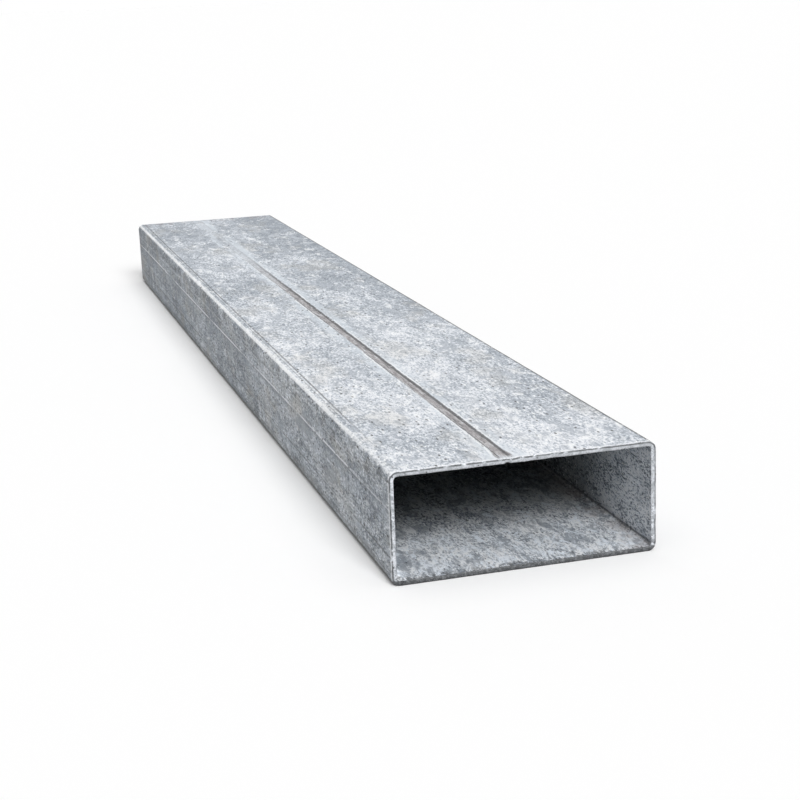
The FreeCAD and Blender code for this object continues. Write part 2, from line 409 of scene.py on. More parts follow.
def mesh_from_grid(name, points, zone, portion):
    """A mesh object from the grid, with zones as materials and the wall's share as an attribute."""
    rows, columns, _ = points.shape
    faces = closed_grid_faces(rows, columns)
    mesh = bpy.data.meshes.new(name)
    mesh.from_pydata((points.reshape(-1, 3) * MM).tolist(), [], faces.tolist())
    next_zone = np.roll(zone, -1)
    rims = (FAR_RIM_ZONE, NEAR_RIM_ZONE)
    rim = np.isin(zone, rims) | np.isin(next_zone, rims)
    slot_of_row = np.where(rim, RIM_SLOT, np.where(zone == BORE_ZONE, BORE_SLOT, SKIN_SLOT))
    mesh.polygons.foreach_set("material_index", np.repeat(slot_of_row, columns).astype(np.int32))
    mesh.polygons.foreach_set("use_smooth", np.ones(len(faces), dtype=bool))
    attribute = mesh.attributes.new("wall_share", "FLOAT", "POINT")
    attribute.data.foreach_set("value", portion.reshape(-1).astype(np.float32))
    mesh.update()
    obj = bpy.data.objects.new(name, mesh)
    bpy.context.scene.collection.objects.link(obj)
    return obj


tube_grid, row_zones, wall_share = tube_points()
tube = mesh_from_grid("tube", tube_grid, row_zones, wall_share)
print(f"tube mesh: {len(tube.data.polygons)} quads, {2 * len(tube.data.polygons)} triangles")

# %% [markdown]
# ## A small kit for materials
#
# Every finish below is built from the same few moves: stretch the coordinates, read a noise, and
# turn its value into a mask or a colour. Each helper adds one node and returns its output, so a
# material reads like a recipe. The coordinates are the object's own, in millimetres.


# %% Material helpers
def new_material(name):
    """An empty node material. Returns it, its node tree and the object coordinates in mm."""
    material = bpy.data.materials.new(name)
    material.use_nodes = True
    tree = material.node_tree
    tree.nodes.clear()
    coordinates = tree.nodes.new("ShaderNodeTexCoord").outputs["Object"]
    return material, tree, stretch(tree, coordinates, (1000.0, 1000.0, 1000.0))


def put(tree, socket, value):
    """Links value to the socket if it is an output, and otherwise sets it."""
    if isinstance(value, bpy.types.NodeSocket):
        tree.links.new(value, socket)
    else:
        socket.default_value = value


def stretch(tree, vector, scale, place=(0.0, 0.0, 0.0)):
    """The coordinates times scale plus place. A scale under 1 draws a pattern out that way."""
    node = tree.nodes.new("ShaderNodeMapping")
    put(tree, node.inputs["Vector"], vector)
    node.inputs["Scale"].default_value = scale
    node.inputs["Location"].default_value = place
    return node.outputs["Vector"]


def noise(tree, vector, size, detail=4.0, rough=0.55, warp=0.0):
    """Fractal noise about 0.5, with its largest patches size mm across."""
    node = tree.nodes.new("ShaderNodeTexNoise")
    put(tree, node.inputs["Vector"], vector)
    node.inputs["Scale"].default_value = 1.0 / size
    node.inputs["Detail"].default_value = detail
    node.inputs["Roughness"].default_value = rough
    node.inputs["Distortion"].default_value = warp
    return node.outputs["Fac"]


def cells(tree, vector, size):
    """Scattered points size mm apart: the distance to the nearest, as a share of size, and its own
    random number."""
    node = tree.nodes.new("ShaderNodeTexVoronoi")
    put(tree, node.inputs["Vector"], vector)
    node.inputs["Scale"].default_value = 1.0 / size
    return node.outputs["Distance"], node.outputs["Color"]


def reckon(tree, operation, first, second=0.0, third=0.0, clamp=False):
    """One Math node."""
    node = tree.nodes.new("ShaderNodeMath")
    node.operation = operation
    node.use_clamp = clamp
    for socket, value in zip(node.inputs, (first, second, third)):
        put(tree, socket, value)
    return node.outputs[0]


def total(tree, parts, start=0.0):
    """start plus the sum of (value - middle) * weight over the parts."""
    result = start
    for value, middle, weight in parts:
        share = reckon(tree, "MULTIPLY_ADD", value, weight, -middle * weight)
        result = reckon(tree, "ADD", result, share)
    return result


def mask(tree, value, start, stop):
    """0 where value is at start and 1 where it is at stop, smooth between."""
    node = tree.nodes.new("ShaderNodeMapRange")
    node.interpolation_type = "SMOOTHSTEP"
    put(tree, node.inputs["Value"], value)
    turned = stop < start
    node.inputs["From Min"].default_value = stop if turned else start
    node.inputs["From Max"].default_value = start if turned else stop
    node.inputs["To Min"].default_value = 1.0 if turned else 0.0
    node.inputs["To Max"].default_value = 0.0 if turned else 1.0
    return node.outputs["Result"]


def line(tree, value, centre, half_width, soft):
    """1 within half_width of centre, falling to 0 over soft mm on both sides."""
    distance = reckon(tree, "ABSOLUTE", reckon(tree, "SUBTRACT", value, centre))
    return mask(tree, distance, half_width + soft, half_width)


def times(tree, *values):
    """The product of all the values."""
    result = values[0]
    for value in values[1:]:
        result = reckon(tree, "MULTIPLY", result, value)
    return result


def ramp(tree, value, stops):
    """A colour for each value, from stops of (place, colour)."""
    node = tree.nodes.new("ShaderNodeValToRGB")
    put(tree, node.inputs["Fac"], value)
    elements = node.color_ramp.elements
    while len(elements) < len(stops):
        elements.new(0.5)
    for element, (place, colour) in zip(elements, stops):
        element.position = place
        element.color = (*colour, 1.0)
    return node.outputs["Color"]


def blend(tree, share, under, over, mode="MIX"):
    """One colour over another, by share."""
    node = tree.nodes.new("ShaderNodeMix")
    node.data_type = "RGBA"
    node.blend_type = mode
    colours = [socket for socket in node.inputs if socket.type == "RGBA"]
    put(tree, node.inputs["Factor"], share)
    for socket, value in zip(colours, (under, over)):
        put(tree, socket, value if isinstance(value, bpy.types.NodeSocket) else (*value, 1.0))
    return next(socket for socket in node.outputs if socket.type == "RGBA")


def split(tree, vector):
    """The x, y and z of a vector."""
    node = tree.nodes.new("ShaderNodeSeparateXYZ")
    put(tree, node.inputs["Vector"], vector)
    return tuple(node.outputs)


def finish_zinc(material, tree, colour, roughness, height, relief_mm, metallic):
    """Ends the tree in one metal shader, with the height as bump of relief_mm."""
    bump = tree.nodes.new("ShaderNodeBump")
    bump.inputs["Strength"].default_value = 1.0
    bump.inputs["Distance"].default_value = relief_mm * MM
    put(tree, bump.inputs["Height"], height)
    shader = tree.nodes.new("ShaderNodeBsdfPrincipled")
    put(tree, shader.inputs["Base Color"], colour)
    put(tree, shader.inputs["Roughness"], roughness)
    put(tree, shader.inputs["Metallic"], metallic)
    put(tree, shader.inputs["Normal"], bump.outputs["Normal"])
    output = tree.nodes.new("ShaderNodeOutputMaterial")
    tree.links.new(shader.outputs["BSDF"], output.inputs["Surface"])
    print(f"{material.name}: {len(tree.nodes)} nodes")
    return material


# %% [markdown]
# ## Zinc
#
# Hot zinc sets in clouds a few centimetres across, broken into smaller blue-grey and silver
# patches, with a fine grain over all. The rollers have drawn the steel out lengthwise, and the
# patches follow that. Scattered on it are black pits, where flux kept the zinc off, and bright
# flecks of dross. The same tone serves the skin and the bore with other strengths.


# %% Zinc tone and specks
ROLLED = (1.0, 0.42, 1.0)
SOFTLY = (1.0, 0.45, 1.0)
STRONGLY = (1.0, 0.3, 1.0)


def zinc_tone(tree, mm, middle, clouds, patches, grain, place=(0.0, 0.0, 0.0)):
    """A value about middle: broad clouds, drawn-out patches and grain, each with its strength."""
    rolled = stretch(tree, mm, ROLLED, place)
    return total(
        tree,
        (
            (noise(tree, stretch(tree, mm, SOFTLY, place), 46.0, 3.0, 0.5, 0.4), 0.5, clouds),
            (noise(tree, stretch(tree, mm, STRONGLY, place), 19.0, 3.0, 0.6, 0.8), 0.5, clouds),
            (noise(tree, rolled, 6.5, 7.0, 0.74, 0.5), 0.5, patches),
            (noise(tree, rolled, 1.05, 2.0, 0.8), 0.5, grain),
        ),
        middle,
    )


def crisp_patches(tree, mm, place=(0.0, 0.0, 0.0)):
    """Masks of the dull blue-grey patches and of the frosted white ones, both with firm edges."""
    dull_field = noise(tree, stretch(tree, mm, ROLLED, place), 8.0, 7.0, 0.70, 0.9)
    frost_place = (place[0] + 40.0, 2.0, 7.0)
    frost_field = noise(tree, stretch(tree, mm, (0.8, 0.4, 0.8), frost_place), 4.5, 7.0, 0.74, 0.6)
    return mask(tree, dull_field, 0.52, 0.60), mask(tree, frost_field, 0.55, 0.61)


def specks(tree, mm, spacing, radius, share, place=(0.0, 0.0, 0.0)):
    """Scattered dots about radius mm in size, with ragged edges, in that share of the cells."""
    vector = stretch(tree, mm, ROLLED, place)
    nearest, lot = cells(tree, vector, spacing)
    wobble = reckon(tree, "MULTIPLY", noise(tree, vector, 0.9, 2.0), 1.2 * radius / spacing)
    distance = reckon(tree, "ADD", nearest, wobble)
    dot = mask(tree, distance, 1.95 * radius / spacing, 1.25 * radius / spacing)
    return times(tree, dot, mask(tree, split(tree, lot)[0], share, share - 0.05))


# %% [markdown]
# ## The colours
#
# Linear red, green and blue. Fresh zinc runs from near white through silver to slate, always a
# little blue. Dirt is neutral and weathering is beige. Each finish could pick its own, but one
# shared list keeps skin, rim and bore alike.

# %% Colours
WHITE = (0.93, 0.94, 0.95)
PALE = (0.80, 0.82, 0.86)
SILVER = (0.66, 0.69, 0.74)
BLUE_GREY = (0.47, 0.51, 0.565)
DULL_ZINC = (0.40, 0.435, 0.485)
SLATE = (0.25, 0.28, 0.32)
SOOT = (0.10, 0.105, 0.11)
PIT = (0.045, 0.047, 0.05)
BEIGE = (0.42, 0.39, 0.33)

# %% [markdown]
# ## The weld band
#
# The band is bare metal with lines from the planing tool. Painted shade of the trough wall runs
# along its right edge as a dark line, a broken dark line runs along its left, and on each side of it
# is a smooth bluish margin. The band flares at the near end, starts a few millimetres inside it, and
# fades to a trace towards the far end. One short scratch wanders along beside it. An image could be
# laid on the tube, but noise drawn out along Y needs no file and stays sharp close up.

# %% Weld layers
WELD_BROWN = (0.225, 0.205, 0.21)
WELD_PALE = (0.42, 0.40, 0.405)
MARGIN_BLUE = (0.63, 0.68, 0.735)
BAND_FLARE = 1.5
MARGIN_WIDTH = 4.0
MARGIN_FADE = 3.5
FAR_STRENGTH = 0.14
SCRATCH_FROM_SEAM = 9.5
ALONG_ONLY = (0.0, 1.0, 0.0)


def weld_layers(tree, mm, x, y, z, colour):
    """Lays the weld band, its dark edges and its smooth margins over the zinc.

    Returns the colour and the masks of the margins and of the band.
    """
    sway = noise(tree, stretch(tree, mm, ALONG_ONLY), 70.0, 2.0)
    nibbled = noise(tree, stretch(tree, mm, STRONGLY), 1.5, 3.0, 0.75)
    from_seam = reckon(tree, "SUBTRACT", x, SEAM_X)
    across = total(tree, ((sway, 0.5, 1.2), (nibbled, 0.5, 1.3)), from_seam)
    flare = times(tree, mask(tree, y, NEAR_Y + 22.0, NEAR_Y + 3.0), BAND_FLARE)
    distance = reckon(tree, "SUBTRACT", reckon(tree, "ABSOLUTE", across), flare)
    half = SEAM_WIDTH / 2
    fresh = mask(tree, y, NEAR_Y + 1.0, NEAR_Y + 6.0)
    faded = times(tree, fresh, mask(tree, y, FAR_Y - 170.0, FAR_Y - 420.0))
    kept = reckon(tree, "MULTIPLY_ADD", faded, 1.0 - FAR_STRENGTH, FAR_STRENGTH)
    top_only = mask(tree, z, TOP_Z - 1.2, TOP_Z - 0.5)

    # The colour of the bare metal: dark and pale tool lines, with blotches over them.
    tool_lines = noise(tree, stretch(tree, mm, (1.0, 0.02, 0.0)), 0.6, 3.0, 0.75)
    blotches = noise(tree, stretch(tree, mm, (1.0, 0.2, 1.0)), 2.0, 5.0, 0.8)
    streak = total(tree, ((tool_lines, 0.5, 1.3), (blotches, 0.5, 1.9)), 0.5)
    metal_stops = ((0.18, SOOT), (0.40, WELD_BROWN), (0.62, WELD_PALE), (0.86, SILVER))
    band_colour = ramp(tree, streak, metal_stops)

    # The margins, and a broken bright lip just outside the band.
    margin = mask(tree, distance, half + MARGIN_WIDTH + MARGIN_FADE, half + MARGIN_WIDTH)
    margin_field = noise(tree, stretch(tree, mm, (1.0, 0.15, 1.0)), 9.0, 4.0, 0.6)
    margin_share = times(tree, margin, top_only, mask(tree, margin_field, 0.36, 0.58), 0.68)
    colour = blend(tree, margin_share, colour, MARGIN_BLUE)
    broken = mask(tree, noise(tree, stretch(tree, mm, (1.0, 0.1, 1.0)), 4.0, 4.0, 0.7), 0.40, 0.56)
    lip = times(tree, line(tree, distance, half + 0.8, 0.2, 0.6), top_only, kept, broken, 0.6)
    colour = blend(tree, lip, colour, WHITE)

    # The band itself, then its dark edges.
    band = times(tree, mask(tree, distance, half + 0.2, half - 0.5), top_only, kept, 0.94)
    colour = blend(tree, band, colour, band_colour)
    # Painted shade of the trough wall, as a dark line along the band's right edge.
    right_edge_painted_shade = line(tree, across, half - 0.45, 0.55, 0.5)
    left_edge = times(tree, line(tree, across, 0.2 - half, 0.1, 0.45), broken)
    edges = reckon(tree, "MAXIMUM", right_edge_painted_shade, left_edge)
    edges = times(tree, edges, top_only, kept, fresh)
    colour = blend(tree, times(tree, edges, 0.85), colour, PIT)

    # One short scratch that wanders along to the right of the band.
    wander = noise(tree, stretch(tree, mm, ALONG_ONLY, (3.0, 1.0, 4.0)), 16.0, 3.0)
    from_scratch = reckon(tree, "SUBTRACT", x, SEAM_X + SCRATCH_FROM_SEAM)
    scratch_x = reckon(tree, "MULTIPLY_ADD", wander, 4.0, from_scratch)
    begins = mask(tree, y, NEAR_Y + 52.0, NEAR_Y + 70.0)
    reach = times(tree, begins, mask(tree, y, NEAR_Y + 170.0, NEAR_Y + 120.0))
    scratch = times(tree, line(tree, scratch_x, 0.0, 0.1, 0.45), reach, top_only)
    colour = blend(tree, times(tree, scratch, 0.6), colour, SLATE)
    return colour, times(tree, margin, top_only), band


# %% [markdown]
# ## The sides
#
# The sides are painted darker than the top, as shade, and streaked downwards and scored lengthwise
# by the rollers. Warm and cool patches lie over that. Dark runs hang from the upper corner, broken
# roller lines run along, the upper one with a painted highlight and a painted shadow, and the foot
# is darker in patches. One noise for all of it would look like stone, so each direction has a layer
# of its own.

# %% Side layers
# Multipliers for the painted shade on the sides, from darkest to lightest.
SIDE_DEEP = (0.30, 0.32, 0.335)
SIDE_PAINTED_SHADE = (0.62, 0.64, 0.65)
SIDE_LIGHT = (0.92, 0.94, 0.95)
SIDE_BLUE = (0.235, 0.27, 0.32)
UPPER_LINE_Z, LOWER_LINE_Z = SIDE_LINES_Z
FOOT_LINE_Z = 5.0


def side_layers(tree, mm, x, y, z, colour):
    """Paints shade over the two sides, with runs down them and roller lines along them."""
    on_side = mask(tree, reckon(tree, "ABSOLUTE", x), HALF_WIDTH - 1.9, HALF_WIDTH - 0.4)

    # Painted shade, multiplied over the zinc: the sides come out darker than the top, with runs,
    # blotches, scores and grit in it.
    runs = noise(tree, stretch(tree, mm, (1.0, 0.45, 0.3)), 5.0, 4.0, 0.6, 0.4)
    blotches = noise(tree, stretch(tree, mm, ROLLED, (2.0, 8.0, 4.0)), 9.0, 6.0, 0.7, 0.5)
    scores = noise(tree, stretch(tree, mm, (0.0, 0.006, 1.0)), 2.4, 4.0, 0.75)
    grit = noise(tree, stretch(tree, mm, ROLLED, (5.0, 5.0, 5.0)), 1.2, 3.0, 0.85)
    parts = ((runs, 0.5, 1.0), (blotches, 0.5, 1.45), (scores, 0.5, 1.5), (grit, 0.5, 2.6))
    tone = total(tree, parts, 0.55)
    shade = ramp(tree, tone, ((0.22, SIDE_DEEP), (0.5, SIDE_PAINTED_SHADE), (0.78, SIDE_LIGHT)))
    shaded = blend(tree, 1.0, colour, shade, "MULTIPLY")

    # Warm and cool patches, and dark runs from the upper corner.
    warm_field = noise(tree, stretch(tree, mm, ROLLED, (7.0, 3.0, 9.0)), 17.0, 4.0, 0.6)
    shaded = blend(tree, times(tree, mask(tree, warm_field, 0.52, 0.68), 0.34), shaded, BEIGE)
    cool_field = noise(tree, stretch(tree, mm, ROLLED, (19.0, 31.0, 2.0)), 13.0, 5.0, 0.68)
    cool = times(tree, mask(tree, cool_field, 0.53, 0.62), 0.50)
    shaded = blend(tree, cool, shaded, SIDE_BLUE)
    drip_field = noise(tree, stretch(tree, mm, (1.0, 0.5, 0.7)), 5.0, 5.0, 0.75)
    below_corner = times(tree, mask(tree, z, 34.0, 43.0), mask(tree, z, 49.0, 47.2))
    drips = times(tree, below_corner, mask(tree, drip_field, 0.50, 0.62))
    shaded = blend(tree, times(tree, drips, 0.78), shaded, SOOT)

    # The roller lines, all broken by the same noise, and a blue band under the upper one. The upper
    # line has a painted highlight above its groove and a painted shadow below it.
    broken = mask(tree, noise(tree, stretch(tree, mm, (1.0, 0.08, 1.0)), 4.0, 4.0, 0.7), 0.36, 0.56)
    upper_line_painted_highlight = line(tree, z, UPPER_LINE_Z + 0.4, 0.25, 0.5)
    shaded = blend(tree, times(tree, upper_line_painted_highlight, broken, 0.9), shaded, PALE)
    painted_shadow_line = line(tree, z, UPPER_LINE_Z - 0.7, 0.2, 0.5)
    shaded = blend(tree, times(tree, painted_shadow_line, broken, 0.5), shaded, SOOT)
    second_line = line(tree, z, UPPER_LINE_Z + 7.2, 0.1, 0.45)
    shaded = blend(tree, times(tree, second_line, broken, 0.4), shaded, PALE)
    rising = mask(tree, z, UPPER_LINE_Z - 11.0, UPPER_LINE_Z - 1.0)
    blue_band = times(tree, rising, mask(tree, z, UPPER_LINE_Z + 0.4, UPPER_LINE_Z - 0.4))
    shaded = blend(tree, times(tree, blue_band, 0.3), shaded, SIDE_BLUE)
    lower_line = line(tree, z, LOWER_LINE_Z, 0.2, 0.6)
    shaded = blend(tree, times(tree, lower_line, broken, 0.72), shaded, SOOT)

    # The foot, darker in patches towards the bottom, with one more line along it.
    foot_field = noise(tree, stretch(tree, mm, ROLLED), 4.0, 4.0, 0.7)
    foot = times(tree, mask(tree, z, 8.0, 1.0), mask(tree, foot_field, 0.40, 0.62))
    shaded = blend(tree, times(tree, foot, 0.7), shaded, SOOT)
    foot_line = line(tree, z, FOOT_LINE_Z, 0.2, 0.7)
    shaded = blend(tree, times(tree, foot_line, broken, 0.55), shaded, SOOT)
    return blend(tree, on_side, colour, shaded)


# %% [markdown]
# ## Corners and edges
#
# The upper left corner has a painted highlight in patches, and the upper right one is painted dark,
# as shade where it turns away. A double roller line runs close to the left corner and fades before
# the near end. The sawn edge has a painted highlight, partly edge wear, the far end has brown stains,
# and the underside is painted nearly black, as shade. A bevel node could find the edges, slowly.
# Here their places are known, so masks on x, y and z do it.

# %% Edge layers
CORNER_HIGHLIGHT_INSET = 1.7
SECOND_LINE_STEP = 1.9


def edge_layers(tree, mm, x, y, z, colour):
    """The left corner's painted highlight, the right one's painted shade, the roller line and the
    sawn edge's painted highlight and wear.
    """
    on_top = mask(tree, z, TOP_Z - 2.6, TOP_Z - 1.2)
    held = mask(tree, y, NEAR_Y + 20.0, NEAR_Y + 120.0)
    patchy_field = noise(tree, stretch(tree, mm, (1.0, 0.2, 1.0)), 3.0, 5.0, 0.75)
    patchy = mask(tree, patchy_field, 0.34, 0.56)
    # Painted highlight along the upper left corner, in patches, weaker near the near end.
    painted_corner_highlight = line(tree, x, CORNER_HIGHLIGHT_INSET - HALF_WIDTH, 0.55, 0.5)
    painted_corner_highlight = times(tree, painted_corner_highlight, on_top, reckon(tree, "MAXIMUM", patchy, times(tree, held, 0.7)))
    painted_corner_highlight = times(tree, painted_corner_highlight, reckon(tree, "MULTIPLY_ADD", held, 0.5, 0.4))
    colour = blend(tree, painted_corner_highlight, colour, WHITE)
    # Painted shade along the upper right corner, where it turns away.
    right_corner_painted_shade = times(tree, mask(tree, x, HALF_WIDTH - 3.9, HALF_WIDTH - 3.2), on_top)
    colour = blend(tree, times(tree, right_corner_painted_shade, 0.95), colour, PIT)

    broken = mask(tree, noise(tree, stretch(tree, mm, (1.0, 0.04, 1.0)), 3.0, 3.0, 0.7), 0.26, 0.44)
    level = mask(tree, z, TOP_Z - 1.2, TOP_Z - 0.5)
    roll_line = line(tree, x, ROLL_LINE_X, 0.2, 0.5)
    second = line(tree, x, ROLL_LINE_X - SECOND_LINE_STEP, 0.1, 0.4)
    lines = reckon(tree, "MAXIMUM", roll_line, times(tree, second, 0.6))
    colour = blend(tree, times(tree, lines, held, broken, level, 0.8), colour, SOOT)

    # Painted highlight along the sawn edge of the skin, partly edge wear.
    sawn_edge_highlight_and_wear = mask(tree, y, NEAR_Y + 2.4, NEAR_Y + 0.8)
    colour = blend(tree, times(tree, sawn_edge_highlight_and_wear, 0.6), colour, WHITE)
    stain_field = noise(tree, stretch(tree, mm, STRONGLY), 5.0, 4.0, 0.7)
    at_far_end = mask(tree, y, FAR_Y - 26.0, FAR_Y - 4.0)
    stain = times(tree, at_far_end, mask(tree, stain_field, 0.48, 0.60))
    colour = blend(tree, times(tree, stain, 0.65), colour, WELD_BROWN)
    # Painted shade on the lower corners and the underside, which face the floor.
    under = mask(tree, z, 3.3, 1.5)
    return blend(tree, times(tree, under, 0.86), colour, PIT)


# %% [markdown]
# ## The skin, put together
#
# The zinc comes first, darker towards the far end, and painted shade darkens its right part. The
# weld, the sides and the edges go over it, and then bright flecks of dross, pits, and fine scratches
# drawn out crosswise.
# Flecks and fine pits are strongest at the near end, and flecks hardly show on the weld band.
# Each layer covers the last, so they go from the zinc outwards.

# %% Skin material
FAR_END_DARKENING = -0.33
RIGHT_PAINTED_SHADE = -0.10
SKIN_BUMP_MM = 0.16
SKIN_METALLIC = 0.35


def skin_material():
    """Galvanised skin of the tube, outside."""
    material, tree, mm = new_material("zinc_skin")
    x, y, z = split(tree, mm)

    # Zinc, with its dull and frosted patches.
    # Darker towards the far end, and painted shade over the right part of the zinc.
    far_darkening_and_painted_shade = times(tree, mask(tree, y, NEAR_Y + 40.0, FAR_Y), FAR_END_DARKENING)
    far_darkening_and_painted_shade = reckon(tree, "MULTIPLY_ADD", mask(tree, x, -10.0, 60.0), RIGHT_PAINTED_SHADE, far_darkening_and_painted_shade)
    tone = reckon(tree, "ADD", zinc_tone(tree, mm, 0.485, 0.75, 1.05, 2.2), far_darkening_and_painted_shade)
    zinc_stops = ((0.10, SLATE), (0.36, BLUE_GREY), (0.50, SILVER), (0.70, PALE), (0.98, WHITE))
    colour = ramp(tree, tone, zinc_stops)
    dull, frost = crisp_patches(tree, mm)
    dulled = reckon(tree, "MULTIPLY_ADD", far_darkening_and_painted_shade, -1.0, 0.66)
    colour = blend(tree, times(tree, dull, dulled), colour, DULL_ZINC)
    colour = blend(tree, times(tree, frost, 0.62), colour, WHITE)
    warm_field = noise(tree, stretch(tree, mm, (1.0, 0.5, 1.0), (12.0, 6.0, 30.0)), 24.0, 4.0, 0.62)
    colour = blend(tree, times(tree, mask(tree, warm_field, 0.52, 0.66), 0.22), colour, BEIGE)

    colour, margin, band = weld_layers(tree, mm, x, y, z, colour)
    colour = side_layers(tree, mm, x, y, z, colour)
    colour = edge_layers(tree, mm, x, y, z, colour)

    # Flecks, pits and scratches.
    to_near_end = mask(tree, y, FAR_Y - 60.0, NEAR_Y + 40.0)
    handled = reckon(tree, "MULTIPLY_ADD", to_near_end, 0.60, 0.40)
    pits = specks(tree, mm, 3.0, 0.52, 0.38)
    fine_pits = specks(tree, mm, 1.5, 0.34, 0.6, (31.0, 17.0, 5.0))
    flecks = specks(tree, mm, 2.4, 0.50, 0.5, (11.0, 41.0, 23.0))
    off_band = reckon(tree, "MULTIPLY_ADD", band, -0.8, 1.0)
    colour = blend(tree, times(tree, flecks, off_band, handled, 0.85), colour, WHITE)
    colour = blend(tree, times(tree, fine_pits, handled, 0.62), colour, SLATE)
    colour = blend(tree, times(tree, pits, 0.95), colour, PIT)
    drawn_across = stretch(tree, mm, (0.06, 1.0, 0.06), (0.0, 5.0, 3.0))
    scratches = mask(tree, noise(tree, drawn_across, 1.6, 3.0, 0.6, 0.2), 0.68, 0.73)
    colour = blend(tree, times(tree, scratches, 0.4), colour, SLATE)

    roughness = mask(tree, tone, 0.9, 0.1)
    roughness = reckon(tree, "MULTIPLY_ADD", roughness, 0.20, 0.42)
    relief = ((tone, 0.5, 0.5), (pits, 0.0, -0.8), (flecks, 0.0, 0.35), (margin, 0.0, -0.05))
    height = total(tree, relief, 0.5)
    return finish_zinc(material, tree, colour, roughness, height, SKIN_BUMP_MM, SKIN_METALLIC)


# %% [markdown]
# ## The rim
#
# The sawn rim is mottled grey, with a broken dark line near the skin where the zinc and the steel
# part. It is greyer along the top, and black grit gathers along the bottom. It is too narrow for
# an image, so the finish reads the share of the wall that the mesh stores at each point.

# %% Rim material
RIM_GREY = (0.40, 0.42, 0.44)
RIM_ROUGHNESS = 0.55
RIM_BUMP_MM = 0.14
RIM_METALLIC = 0.30


def rim_material():
    """The sawn rim, from skin to bore by the share of the wall."""
    material, tree, mm = new_material("sawn_rim")
    reader = tree.nodes.new("ShaderNodeAttribute")
    reader.attribute_name = "wall_share"
    share = reader.outputs["Fac"]
    coarse = noise(tree, mm, 3.0, 4.0, 0.7)
    fine = noise(tree, mm, 0.9, 3.0, 0.7)
    tone = total(tree, ((coarse, 0.5, 1.8), (fine, 0.5, 1.8)), 0.50)
    colour = ramp(tree, tone, ((0.12, SLATE), (0.38, RIM_GREY), (0.60, SILVER), (0.90, PALE)))
    _, _, z = split(tree, mm)
    upper = mask(tree, z, TOP_Z - 3.5, TOP_Z - 1.5)
    weathered = times(tree, upper, mask(tree, share, 0.1, 0.3), 0.5)
    colour = blend(tree, weathered, colour, RIM_GREY)
    gaps = mask(tree, noise(tree, mm, 5.0, 3.0, 0.65), 0.36, 0.48)
    seam_of_zinc = times(tree, line(tree, share, 0.20, 0.09, 0.11), gaps)
    colour = blend(tree, times(tree, seam_of_zinc, 0.9), colour, PIT)
    dirt = mask(tree, noise(tree, mm, 9.0, 3.0, 0.65, 0.5), 0.50, 0.64)
    colour = blend(tree, times(tree, dirt, 0.45), colour, RIM_GREY)
    gritty = noise(tree, mm, 1.7, 4.0, 0.8)
    foot = times(tree, mask(tree, z, 3.2, 1.8), mask(tree, gritty, 0.60, 0.50))
    colour = blend(tree, times(tree, foot, 0.95), colour, PIT)
    grit = times(tree, mask(tree, z, 6.0, 2.6), mask(tree, gritty, 0.48, 0.55))
    colour = blend(tree, times(tree, grit, 0.85), colour, SOOT)
    pits = specks(tree, mm, 2.4, 0.36, 0.7, (3.0, 9.0, 27.0))
    colour = blend(tree, times(tree, pits, 0.85), colour, PIT)
    height = total(tree, ((tone, 0.5, 0.8), (pits, 0.0, -0.8)), 0.5)
    return finish_zinc(material, tree, colour, RIM_ROUGHNESS, height, RIM_BUMP_MM, RIM_METALLIC)


# %% [markdown]
# ## The bore
#
# The bore was dipped too, and it drained badly, so its patches are stronger and dirtier. Floor
# and ceiling get painted light near each mouth, with pale patches there, and dark streaks run along
# them. Deeper in, everything is painted darker, as shade. Bright crumbs of dross stick mostly to the
# walls, and brown stains lie on the floor near the right one. The skin's finish could serve here too,
# but these marks are measured from the mouths and the walls.

# %% Bore material
COOL_WHITE = (0.84, 0.90, 0.97)
BORE_PAINTED_SHADE = (0.42, 0.43, 0.425)
BORE_STAIN = (0.34, 0.29, 0.27)
BORE_PLACE = (60.0, 20.0, 10.0)
BORE_HALF = HALF_WIDTH - WALL
BORE_BUMP_MM = 0.2


